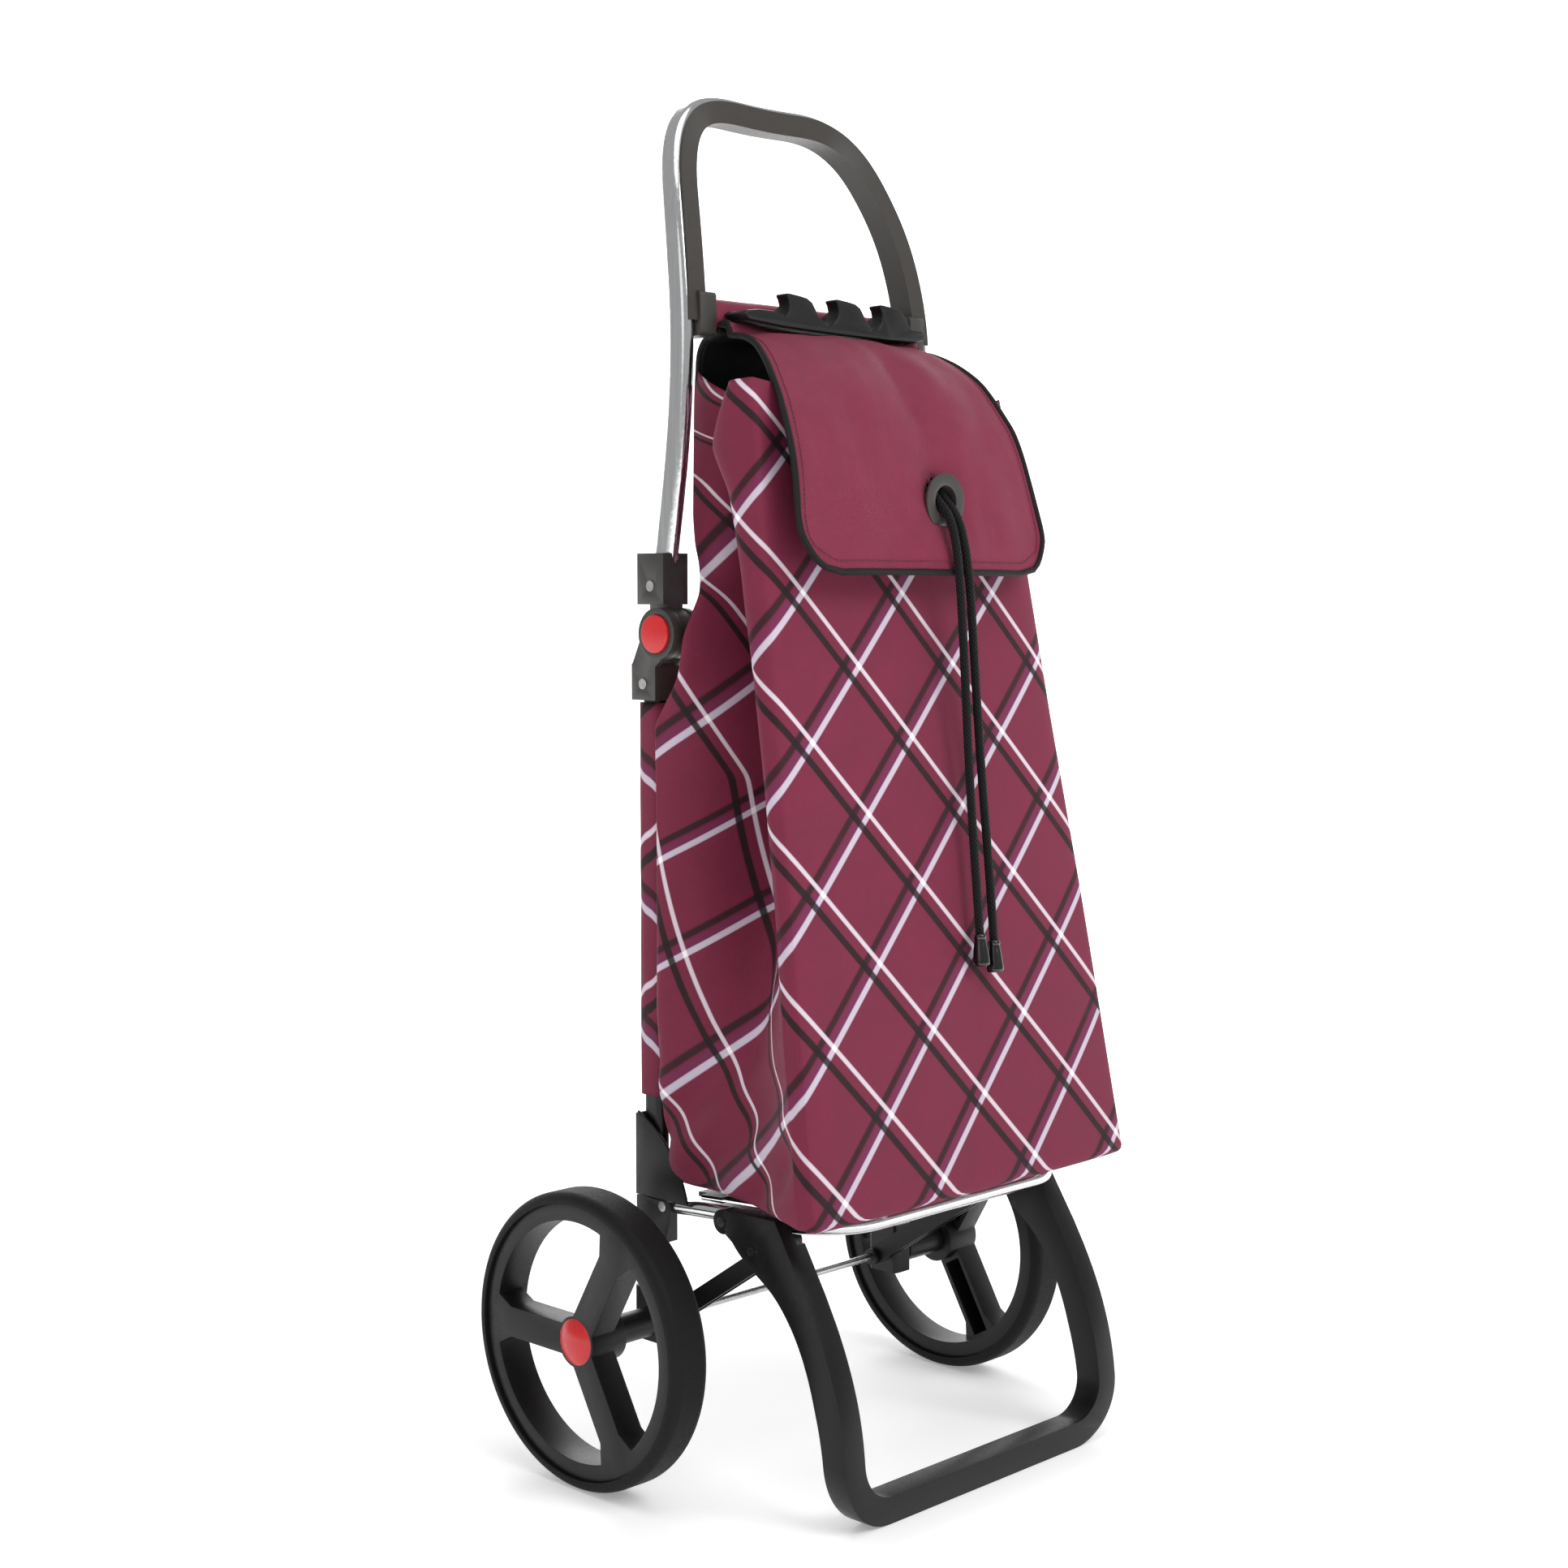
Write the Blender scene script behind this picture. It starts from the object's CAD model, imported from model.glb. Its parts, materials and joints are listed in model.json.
import json  # noqa: E402
import math  # noqa: E402

import bmesh  # noqa: E402
import bpy  # noqa: E402
from bpy.props import FloatProperty, FloatVectorProperty, IntProperty, PointerProperty  # noqa: E402
from mathutils import Matrix, Vector, noise  # noqa: E402

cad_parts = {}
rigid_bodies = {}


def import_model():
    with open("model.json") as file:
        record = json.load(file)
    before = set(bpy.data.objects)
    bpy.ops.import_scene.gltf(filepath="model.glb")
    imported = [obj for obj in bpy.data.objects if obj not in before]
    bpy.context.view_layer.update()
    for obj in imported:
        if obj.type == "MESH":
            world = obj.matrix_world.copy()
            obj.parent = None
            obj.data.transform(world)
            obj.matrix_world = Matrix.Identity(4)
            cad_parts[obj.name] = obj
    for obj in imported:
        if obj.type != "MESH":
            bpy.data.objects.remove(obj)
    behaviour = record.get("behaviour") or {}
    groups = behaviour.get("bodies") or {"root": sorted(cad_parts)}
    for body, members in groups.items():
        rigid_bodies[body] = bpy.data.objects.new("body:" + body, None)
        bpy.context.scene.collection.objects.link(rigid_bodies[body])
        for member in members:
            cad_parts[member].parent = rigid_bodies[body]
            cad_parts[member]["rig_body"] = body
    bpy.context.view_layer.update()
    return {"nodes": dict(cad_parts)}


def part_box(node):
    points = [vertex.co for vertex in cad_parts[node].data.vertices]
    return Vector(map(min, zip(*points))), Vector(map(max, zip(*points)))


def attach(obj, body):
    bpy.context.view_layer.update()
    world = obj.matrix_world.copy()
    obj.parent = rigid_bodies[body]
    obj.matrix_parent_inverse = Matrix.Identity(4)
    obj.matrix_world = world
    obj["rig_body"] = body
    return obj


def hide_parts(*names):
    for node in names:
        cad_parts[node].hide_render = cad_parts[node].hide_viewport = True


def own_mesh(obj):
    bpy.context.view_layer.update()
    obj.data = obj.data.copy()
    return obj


bl_info = {
    "name": "Folding Shopping Trolley",
    "version": (1, 0, 0),
    "blender": (4, 5, 0),
    "location": "3D View > Sidebar > Trolley",
    "description": "Dresses a folding shopping trolley with its cloth bag, cords, fittings and finishes",
    "category": "Object",
}

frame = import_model()

AXLE_BACK = 51.0  # the drawing's y is measured from the axle, which stands this far behind the row's origin


def at(x, y, z):
    """A point given in millimetres from the axle line, in the row frame's metres."""
    return Vector((x, y + AXLE_BACK, z)) / 1000.0


# ---- colours ------------------------------------------------------------------------------------
def to_linear(hex_colour):
    """An sRGB hex value as linear red, green, blue and alpha."""
    out = []
    for i in (0, 2, 4):
        c = int(hex_colour.lstrip("#")[i:i + 2], 16) / 255.0
        out.append(c / 12.92 if c <= 0.04045 else ((c + 0.055) / 1.055) ** 2.4)
    return (out[0], out[1], out[2], 1.0)


def colour_property(name, description, hex_colour):
    return FloatVectorProperty(name=name, description=description, subtype="COLOR", size=4, min=0.0, max=1.0,
                               default=to_linear(hex_colour))


def length_property(name, description, metres, least=0.0005):
    return FloatProperty(name=name, description=description, default=metres, min=least, unit="LENGTH",
                         subtype="DISTANCE")


class TrolleyColours(bpy.types.PropertyGroup):
    """The finishes' colours."""
    burgundy: colour_property("Burgundy", "Ground colour of the plaid cloth", "#762740")
    flap_burgundy: colour_property("Flap burgundy", "Colour of the plain twill on the flap", "#7E2A42")
    dark_line: colour_property("Dark line", "Brown-black lines of the plaid", "#21171B")
    lilac_line: colour_property("Lilac line", "Broad pale lines of the plaid", "#CBBFD0")
    white_line: colour_property("White line", "Narrow pale lines of the plaid", "#E0D3DE")
    purple_fringe: colour_property("Purple fringe", "Band beside each broad pale line", "#6B2F5C")
    piping: colour_property("Piping", "Bound edges of the cloth", "#161315")
    cord: colour_property("Cord", "Braided cord", "#0C0B0C")
    black_plastic: colour_property("Black plastic", "Moulded fittings", "#151516")
    grip: colour_property("Grip", "Warm grey handle grip", "#3B3835")
    hinge_grey: colour_property("Hinge grey", "Moulded hinges and brackets", "#383532")
    red_button: colour_property("Red button", "Release buttons and hub caps", "#CC1E22")
    tyre: colour_property("Tyre", "Solid tyres", "#141415")
    rim: colour_property("Rim", "Moulded wheel rims", "#0F0F10")
    aluminium: colour_property("Aluminium", "Polished tube", "#D9DADB")
    zinc: colour_property("Zinc", "Axle and rivets", "#C9CBCC")
    black_paint: colour_property("Black paint", "Lower tubes and leg", "#0D0D0E")
    floor: colour_property("Floor", "Studio floor", "#FBFBFB")


class TrolleySizes(bpy.types.PropertyGroup):
    """Sizes that a maker would change."""
    line_pitch: length_property("Line pitch", "Width of one repeat of the plaid, along the panel", 0.1045, 0.02)
    white_width: length_property("White line", "Width of the narrow pale line", 0.0035)
    lilac_width: length_property("Lilac line", "Width of the broad pale line", 0.0045)
    dark_width: length_property("Dark line", "Width of the dark lines", 0.0056)
    cord_diameter: length_property("Cord", "Diameter of the draw cord", 0.0065, 0.002)
    piping_diameter: length_property("Piping", "Diameter of the flap's bound edge", 0.0048, 0.001)
    cloth_thickness: length_property("Cloth", "Thickness of the coated cloth", 0.0008, 0.0003)
    wrinkle: length_property("Wrinkle", "Depth of the soft creases in the bag", 0.0022, 0.0)
    bag_rings: IntProperty(name="Bag rings", description="Rows of mesh up the bag", default=84, min=20)
    lens: FloatProperty(name="Lens", description="Focal length of the camera in millimetres", default=55.76,
                        min=10.0)


# ---- mesh helpers -------------------------------------------------------------------------------
def finish_piece(name, bm, material, body, smooth=True, away_from=None):
    """Turns a bmesh into an object at the origin that rides on a CAD body.

    An open cloth names a point behind it, because recalculating alone may turn it inside out.
    """
    bmesh.ops.recalc_face_normals(bm, faces=bm.faces)
    if away_from:
        behind = Vector(away_from)
        if sum(f.normal.dot(f.calc_center_median() - behind) * f.calc_area() for f in bm.faces) < 0:
            bmesh.ops.reverse_faces(bm, faces=bm.faces)
    mesh = bpy.data.meshes.new(name)
    bm.to_mesh(mesh)
    bm.free()
    for polygon in mesh.polygons:
        polygon.use_smooth = smooth
    piece = bpy.data.objects.new(name, mesh)
    bpy.context.scene.collection.objects.link(piece)
    mesh.materials.append(material)
    if body:
        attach(piece, body)
    return piece


def add_modifier(piece, kind, name, **settings):
    modifier = piece.modifiers.new(name, kind)
    for key, value in settings.items():
        setattr(modifier, key, value)
    return modifier


def apply_modifiers(piece):
    """The piece's evaluated mesh becomes its own, so that nothing is left live on it."""
    graph = bpy.context.evaluated_depsgraph_get()
    mesh = bpy.data.meshes.new_from_object(piece.evaluated_get(graph), depsgraph=graph)
    piece.modifiers.clear()
    piece.data = mesh


def thicken(cloth, thickness, lined=True, rim_lined=True):
    """Gives an open cloth its thickness, inwards, with black lining on the inner face."""
    settings = {}
    if lined:
        cloth.data.materials.append(finish("lining"))
        settings = {"material_offset": 1, "material_offset_rim": int(rim_lined)}
    add_modifier(cloth, "SOLIDIFY", "cloth", thickness=thickness, offset=-1.0, **settings)
    apply_modifiers(cloth)


def between(stops, value):
    """Value between (place, value) stops; a stop's value is a number or a tuple."""
    if value <= stops[0][0]:
        return stops[0][1]
    for (low, a), (high, b) in zip(stops, stops[1:]):
        if value <= high:
            t = (value - low) / (high - low)
            if isinstance(a, tuple):
                return tuple(p + (q - p) * t for p, q in zip(a, b))
            return a + (b - a) * t
    return stops[-1][1]


def through(points, t):
    """A point on the smooth line through points, with t from 0 to 1 spread evenly over its spans."""
    place = min(max(t, 0.0), 1.0) * (len(points) - 1)
    i = min(int(place), len(points) - 2)
    f = place - i
    before, a, b, after = points[max(i - 1, 0)], points[i], points[i + 1], points[min(i + 2, len(points) - 1)]
    return tuple(0.5 * (2 * q + (r - p) * f + (2 * p - 5 * q + 4 * r - s) * f * f + (3 * q - p - 3 * r + s) * f ** 3)
                 for p, q, r, s in zip(before, a, b, after))


def smooth_step(low, high, value):
    t = min(max((value - low) / (high - low), 0.0), 1.0)
    return t * t * (3 - 2 * t)


def cloth_grid(columns, rows, place, cloth):
    """A grid whose vertices go where place(u, v) says, with cloth(u, v) in metres as its UV map."""
    bm = bmesh.new()
    bmesh.ops.create_grid(bm, x_segments=columns, y_segments=rows, size=0.5)
    layer = bm.loops.layers.uv.new("cloth")
    spot = {v: (v.co.x + 0.5, v.co.y + 0.5) for v in bm.verts}
    for face in bm.faces:
        for loop in face.loops:
            loop[layer].uv = cloth(*spot[loop.vert])
    for v, (a, b) in spot.items():
        v.co = place(a, b)
    return bm


def line_points(control, closed=False, order=3, resolution=12):
    """Points along the NURBS line of some control points, read from a curve that has no bevel."""
    data = bpy.data.curves.new("line", "CURVE")
    data.dimensions = "3D"
    data.resolution_u = resolution
    spline = data.splines.new("NURBS")
    spline.points.add(len(control) - 1)
    for point, place in zip(spline.points, control):
        point.co = (*place, 1.0)
    spline.use_cyclic_u = closed
    spline.order_u = order
    spline.use_endpoint_u = not closed
    holder = bpy.data.objects.new("line", data)
    bpy.context.scene.collection.objects.link(holder)
    mesh = bpy.data.meshes.new_from_object(holder)
    points = [v.co.copy() for v in mesh.vertices]
    bpy.data.objects.remove(holder)
    bpy.data.meshes.remove(mesh)
    return points


def tube_mesh(points, radius, sides=16, closed=False, squeeze=None):
    """A tube round a line of points, with distance along and round it in metres as its UV map."""
    bm = bmesh.new()
    layer = bm.loops.layers.uv.new("cloth")
    count = len(points)
    aims = []
    for i in range(count):
        a = points[(i - 1) % count if closed else max(i - 1, 0)]
        b = points[(i + 1) % count if closed else min(i + 1, count - 1)]
        aims.append((b - a).normalized())
    side = aims[0].orthogonal().normalized()
    start = bmesh.ops.create_circle(bm, segments=sides, radius=1.0, cap_ends=False)["verts"]
    angles = [math.atan2(v.co.y, v.co.x) for v in start]
    ring, run, rings = start, 0.0, []
    for i, (point, aim) in enumerate(zip(points, aims)):
        side = (side - aim * side.dot(aim)).normalized()
        up = aim.cross(side)
        if i:
            edges = [e for v in ring for e in v.link_edges if e.other_vert(v) in ring]
            made = bmesh.ops.extrude_edge_only(bm, edges=list(dict.fromkeys(edges)))["geom"]
            new = {v for v in made if isinstance(v, bmesh.types.BMVert)}
            ring = [next(e.other_vert(v) for e in v.link_edges if e.other_vert(v) in new) for v in ring]
            run += (point - points[i - 1]).length
        r = radius * (squeeze(i / (count - 1)) if squeeze else 1.0)
        for v, angle in zip(ring, angles):
            v.co = point + side * (r * math.cos(angle)) + up * (r * math.sin(angle))
        rings.append((list(ring), run))
    run_of = {v: run for ring, run in rings for v in ring}
    turn_of = {v: i for ring, _ in rings for i, v in enumerate(ring)}
    for face in bm.faces:
        turns = [turn_of[loop.vert] for loop in face.loops]
        wrap = max(turns) - min(turns) > sides / 2
        for loop in face.loops:
            turn = turn_of[loop.vert]
            if wrap and turn < sides / 2:
                turn += sides
            loop[layer].uv = (run_of[loop.vert], turn / sides * 2 * math.pi * radius)
    if closed:
        bmesh.ops.bridge_loops(bm, edges=[e for e in bm.edges if e.is_boundary])
    else:
        bmesh.ops.holes_fill(bm, edges=[e for e in bm.edges if e.is_boundary], sides=0)
    return bm


# ---- materials ----------------------------------------------------------------------------------
def new_material(name):
    """A node material with its principled shader, both returned."""
    material = bpy.data.materials.new(name)
    material.use_nodes = True
    return material, material.node_tree.nodes["Principled BSDF"]


def add_node(material, kind, inputs=(), **settings):
    """Adds a node, sets its attributes, and sets or links its inputs by number or name."""
    node = material.node_tree.nodes.new(kind)
    for key, value in settings.items():
        setattr(node, key, value)
    for key, value in dict(inputs).items():
        if isinstance(value, bpy.types.NodeSocket):
            material.node_tree.links.new(value, node.inputs[key])
        else:
            node.inputs[key].default_value = value
    return node


def set_shader(shader, **values):
    """Uniform values, set on the shader's own sockets; underscores stand for spaces."""
    for key, value in values.items():
        shader.inputs[key.replace("_", " ")].default_value = value


def link(material, output, target):
    material.node_tree.links.new(output, target)


def calc(material, operation, a, b=None):
    """The result of one arithmetic node."""
    return add_node(material, "ShaderNodeMath", {0: a} if b is None else {0: a, 1: b},
                    operation=operation).outputs[0]


def remap(material, value, start, end, **settings):
    """Carries a value's place in the first range over to the second."""
    return add_node(material, "ShaderNodeMapRange", {0: value, 1: start[0], 2: start[1], 3: end[0], 4: end[1]},
                    **settings).outputs[0]


def mixed(material, share, a, b, blend="MIX"):
    """Two colours blended."""
    return add_node(material, "ShaderNodeMix", {"Factor": share, 6: a, 7: b}, data_type="RGBA",
                    blend_type=blend).outputs[2]


def tinted(material, colour, tone):
    """A colour made lighter or darker by a tone near 1."""
    grey = add_node(material, "ShaderNodeCombineColor", {0: tone, 1: tone, 2: tone}).outputs[0]
    return mixed(material, 1.0, tuple(colour), grey, "MULTIPLY")


def bumped(material, shader, *layers):
    """Relief from layers of (height, strength, distance in metres), the finest first."""
    below = {}
    for height, strength, distance in layers:
        bump = add_node(material, "ShaderNodeBump",
                        {"Strength": strength, "Distance": distance, "Height": height, **below})
        below = {"Normal": bump.outputs[0]}
    link(material, bump.outputs[0], shader.inputs["Normal"])


def cloud_of(material, place, scale, detail):
    """Soft noise over a position; nearly all of it lies within CLOUD_RANGE."""
    return add_node(material, "ShaderNodeTexNoise",
                    {"Vector": place, "Scale": scale, "Detail": detail}).outputs["Fac"]


CLOUD_RANGE = (0.3, 0.7)
FINE_DETAIL = 4.0


def mottled(material, shader, colour, scale, amount, bump_mm, roughness, spread=0.08, stretch=(1, 1, 1)):
    """Small shifts of colour, roughness and height that keep a plain finish from looking drawn."""
    place = add_node(material, "ShaderNodeTexCoord").outputs["Object"]
    mapped = add_node(material, "ShaderNodeMapping", {"Vector": place, "Scale": stretch}).outputs[0]
    cloud = cloud_of(material, mapped, scale, FINE_DETAIL)
    shade = remap(material, cloud, CLOUD_RANGE, (1.0 - amount, 1.0 + amount))
    link(material, tinted(material, colour, shade), shader.inputs["Base Color"])
    rough = remap(material, cloud, CLOUD_RANGE, (roughness - spread, roughness + spread))
    link(material, rough, shader.inputs["Roughness"])
    if bump_mm:
        bumped(material, shader, (cloud, 1.0, bump_mm / 1000.0))


def wave_along(material, place, per_metre):
    """A sine wave over a position, with that many turns a metre along x and y."""
    turns = add_node(material, "ShaderNodeVectorMath", {0: place, 1: (*per_metre, 0.0)}, operation="DOT_PRODUCT")
    return calc(material, "SINE", calc(material, "MULTIPLY", turns.outputs["Value"], 2 * math.pi))


def weave_height(material, place, thread_mm):
    """Height of a plain weave of round threads over a position in metres."""
    turns = 1000.0 / thread_mm
    return calc(material, "MULTIPLY", wave_along(material, place, (turns, 0.0)),
                wave_along(material, place, (0.0, turns)))


def plaid_cloth(colours, sizes):
    """Coated polyester, printed plaid. The fine weave and faint coating give a dry, even sheen."""
    material, shader = new_material("coated_polyester_plaid")
    place = add_node(material, "ShaderNodeUVMap", uv_map="cloth").outputs[0]
    pitch = sizes.line_pitch
    lean = 0.0705       # the repeat leans this much sideways for each metre up the panel
    rise = 0.105        # height of one repeat

    def line_number(up_sign, offset):
        """Counts lines of one direction across the cloth."""
        scaled = add_node(material, "ShaderNodeVectorMath",
                          {0: place, 1: (1 / pitch, -lean / pitch + up_sign / rise, 0.0)},
                          operation="DOT_PRODUCT").outputs["Value"]
        return calc(material, "ADD", scaled, offset)

    def band(number, centre, width, soft):
        """1 inside a line of that width, in repeats, and 0 outside."""
        part = calc(material, "FRACT", calc(material, "ADD", number, 0.5 - centre))
        far = calc(material, "ABSOLUTE", calc(material, "SUBTRACT", part, 0.5))
        return remap(material, far, (width / 2 + soft, width / 2 - soft), (0.0, 1.0),
                     interpolation_type="SMOOTHSTEP")

    start_x, start_z = 0.079, 0.4452    # where a narrow and a broad pale line cross on the front panel
    down_lines = line_number(1.0, -(start_x / pitch + start_z * (-lean / pitch + 1 / rise)))
    up_lines = line_number(-1.0, -(start_x / pitch + start_z * (-lean / pitch - 1 / rise)))
    down_pitch, up_pitch = 0.0767, 0.0715   # spacing square to each family of lines
    white = band(down_lines, 0.0, sizes.white_width / down_pitch, 0.008)
    down_dark = band(down_lines, -0.0120 / down_pitch, sizes.dark_width / down_pitch, 0.010)
    lilac = band(up_lines, 0.0, sizes.lilac_width / up_pitch, 0.008)
    fringe = band(up_lines, -0.0048 / up_pitch, 0.0040 / up_pitch, 0.020)
    up_dark = band(up_lines, -0.0114 / up_pitch, sizes.dark_width * 0.92 / up_pitch, 0.016)

    cloud = cloud_of(material, place, 34.0, 5.0)
    painted = tinted(material, colours.burgundy, remap(material, cloud, CLOUD_RANGE, (0.93, 1.07)))
    for cover, share, colour in ((fringe, 0.50, colours.purple_fringe), (up_dark, 0.86, colours.dark_line),
                                 (lilac, 0.97, colours.lilac_line), (down_dark, 0.94, colours.dark_line),
                                 (white, 0.90, colours.white_line)):
        painted = mixed(material, calc(material, "MULTIPLY", cover, share), painted, tuple(colour))
    both = calc(material, "MULTIPLY", white, lilac)
    painted = mixed(material, both, painted, to_linear("#FFFBFD"))
    link(material, painted, shader.inputs["Base Color"])
    # threads are 0.5 mm apart, drawn 1.2 mm apart so that they show
    bumped(material, shader, (weave_height(material, place, 1.2), 0.35, 0.0002), (cloud, 0.5, 0.0012))
    link(material, remap(material, cloud, CLOUD_RANGE, (0.58, 0.70)), shader.inputs["Roughness"])
    set_shader(shader, Sheen_Weight=0.05, Sheen_Roughness=0.4, IOR=1.46, Specular_IOR_Level=0.22)
    shader.inputs["Sheen Tint"].default_value = (0.9, 0.7, 0.78, 1.0)
    return material


def twill_cloth(name, colour, thread_mm=2.4, sheen=0.06):
    """Polyester twill. Its slanting ribs break the light into a fine grain with a soft sheen."""
    material, shader = new_material(name)
    place = add_node(material, "ShaderNodeUVMap", uv_map="cloth").outputs[0]
    cloud = cloud_of(material, place, 60.0, 6.0)
    ribs = wave_along(material, place, (1000.0 / thread_mm, 1650.0 / thread_mm))
    tone = calc(material, "MULTIPLY", remap(material, ribs, (-1.0, 1.0), (0.70, 1.22)),
                remap(material, cloud, CLOUD_RANGE, (0.94, 1.06)))
    link(material, tinted(material, colour, tone), shader.inputs["Base Color"])
    bumped(material, shader, (ribs, 0.4, 0.0003), (cloud, 0.45, 0.0012))
    set_shader(shader, Roughness=0.55, Sheen_Weight=sheen, Sheen_Roughness=0.35, IOR=1.46,
               Specular_IOR_Level=0.25)
    return material


def braided_cord(colours):
    """Polyester braid. Crossing strands catch small glints along a black cord."""
    material, shader = new_material("black_polyester_braid")
    place = add_node(material, "ShaderNodeUVMap", uv_map="cloth").outputs[0]
    strands = 1000 / 3.4    # a strand crosses the cord every 3.4 mm
    braid = calc(material, "MAXIMUM", *(wave_along(material, place, (strands, slant * strands))
                                        for slant in (1.0, -1.0)))
    tone = remap(material, braid, (-1.0, 1.0), (0.5, 1.5))
    link(material, tinted(material, colours.cord, tone), shader.inputs["Base Color"])
    bumped(material, shader, (braid, 0.8, 0.0005))
    set_shader(shader, Roughness=0.7, Sheen_Weight=0.05, Sheen_Roughness=0.5, IOR=1.5, Specular_IOR_Level=0.2)
    return material


# Each plain finish: its material's name, its colour (a hex value or the name of a colour property), what
# mottled() takes after the colour (noise scale, amount, bump in mm, roughness, and sometimes how far the
# roughness spreads and a stretch), and uniform values for the shader.
PLAIN_FINISHES = {
    # black coated lining: nearly no light comes back from inside the bag
    "lining": ("coated_lining_black", "#100D0F", (60.0, 0.2, 0.4, 0.6), {}),
    # moulded polypropylene with a fine spark-eroded grain, satin
    "black_plastic": ("moulded_polypropylene_black", "black_plastic", (900.0, 0.10, 0.05, 0.40),
                      {"IOR": 1.49, "Specular_IOR_Level": 0.35}),
    # moulded nylon, dark warm grey, faintly grained
    "hinge_grey": ("moulded_nylon_warm_grey", "hinge_grey", (800.0, 0.10, 0.05, 0.45), {"IOR": 1.53}),
    # moulded thermoplastic rubber: warm grey, soft highlight
    "grip": ("thermoplastic_rubber_grip", "grip", (700.0, 0.08, 0.06, 0.42),
             {"IOR": 1.5, "Specular_IOR_Level": 0.35}),
    # glossy moulded ABS
    "red_button": ("moulded_abs_red", "red_button", (60.0, 0.02, 0.0, 0.28, 0.03), {"IOR": 1.54}),
    # glossy moulded ABS, black
    "cord_tip": ("moulded_abs_black_gloss", "#0B0B0B", (300.0, 0.1, 0.02, 0.16, 0.05),
                 {"IOR": 1.54, "Coat_Weight": 0.3, "Coat_Roughness": 0.1}),
    # solid EVA rubber: dull, slightly dusty
    "tyre": ("solid_rubber_tyre", "tyre", (500.0, 0.14, 0.10, 0.66), {"IOR": 1.52, "Specular_IOR_Level": 0.2}),
    # glass-filled nylon, matte with a fine grain
    "rim": ("glass_filled_nylon_rim", "rim", (800.0, 0.12, 0.06, 0.42), {"IOR": 1.53, "Specular_IOR_Level": 0.3}),
    # bright-anodised drawn tube; faint draw lines run along it
    "aluminium": ("anodised_aluminium_bright", "aluminium", (420.0, 0.03, 0.006, 0.17, 0.05, (1.0, 1.0, 0.03)),
                  {"Metallic": 1.0}),
    # zinc-plated steel, slightly cloudy
    "zinc": ("zinc_plated_steel", "zinc", (250.0, 0.06, 0.01, 0.26, 0.07), {"Metallic": 1.0}),
    # nickel-plated rivet
    "rivet": ("nickel_plated_rivet", "#E3E3E2", (300.0, 0.03, 0.004, 0.14, 0.04), {"Metallic": 1.0}),
    # powder-coated steel tube: fine orange peel and a broad highlight
    "black_paint": ("powder_coat_black", "black_paint", (650.0, 0.08, 0.05, 0.38),
                    {"IOR": 1.5, "Specular_IOR_Level": 0.3}),
    # spun polyester thread, a shade darker than the twill
    "thread": ("polyester_thread_burgundy", "#6A2438", (900.0, 0.1, 0.0, 0.6), {}),
    # matte seamless paper
    "floor": ("seamless_paper_white", "floor", (3.0, 0.004, 0.0, 0.9, 0.02), {}),
}
MATERIALS = {}


def plain_finish(name, colours):
    title, colour, mottle, values = PLAIN_FINISHES[name]
    material, shader = new_material(title)
    mottled(material, shader, to_linear(colour) if colour.startswith("#") else getattr(colours, colour), *mottle)
    set_shader(shader, **values)
    return material, shader


def lit_floor(colours):
    """Paper that is lit from behind away from the object, so that it fades to plain white."""
    material, shader = plain_finish("floor", colours)
    place = add_node(material, "ShaderNodeTexCoord").outputs["Object"]
    far = add_node(material, "ShaderNodeVectorMath", {0: place}, operation="LENGTH").outputs["Value"]
    glow = remap(material, far, (0.45, 1.7), (0.25, 1.0), interpolation_type="SMOOTHSTEP")
    shader.inputs["Emission Color"].default_value = (1.0, 1.0, 1.0, 1.0)
    link(material, glow, shader.inputs["Emission Strength"])
    return material


def finish(name):
    """The material of that finish, made the first time that a piece asks for it."""
    if name not in MATERIALS:
        colours, sizes = bpy.context.scene.trolley_colours, bpy.context.scene.trolley_sizes
        if name == "plaid":
            MATERIALS[name] = plaid_cloth(colours, sizes)
        elif name == "twill":
            MATERIALS[name] = twill_cloth("polyester_twill_burgundy", colours.flap_burgundy)
        elif name == "piping":
            MATERIALS[name] = twill_cloth("bias_tape_black", colours.piping, 1.0, 0.02)
        elif name == "cord":
            MATERIALS[name] = braided_cord(colours)
        elif name == "floor":
            MATERIALS[name] = lit_floor(colours)
        else:
            MATERIALS[name] = plain_finish(name, colours)[0]
    return MATERIALS[name]


CAD_FINISHES = {
    "aluminium": ("handle_tube", "carrier_loop"),
    "grip": ("handle_grip",),
    "hinge_grey": ("hinge_lower_left", "hinge_lower_right", "hinge_upper_left", "hinge_upper_right",
                   "crossbar_bracket_left", "crossbar_bracket_right", "eyelet"),
    "black_plastic": ("corner_pocket_left", "corner_pocket_right", "carrier_bracket_left",
                      "carrier_bracket_right", "foot_left", "foot_right", "bag_board", "hub_bush_left",
                      "hub_bush_right", "axle_spacer_left", "axle_spacer_right", "strut_clip_left",
                      "strut_clip_right"),
    "red_button": ("button_left", "button_right", "hub_cap_left", "hub_cap_right"),
    "tyre": ("tyre_left", "tyre_right"),
    "rim": ("rim_left", "rim_right"),
    "zinc": ("axle", "axle_cap_left", "axle_cap_right", "crossbar"),
    "rivet": ("upright_rivets", "handle_rivets", "leg_rivets", "strut_rivets", "carrier_rivets",
              "hinge_pin_left", "hinge_pin_right"),
    "black_paint": ("upright_left", "upright_right", "leg_loop", "strut_left", "strut_right"),
}


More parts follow.
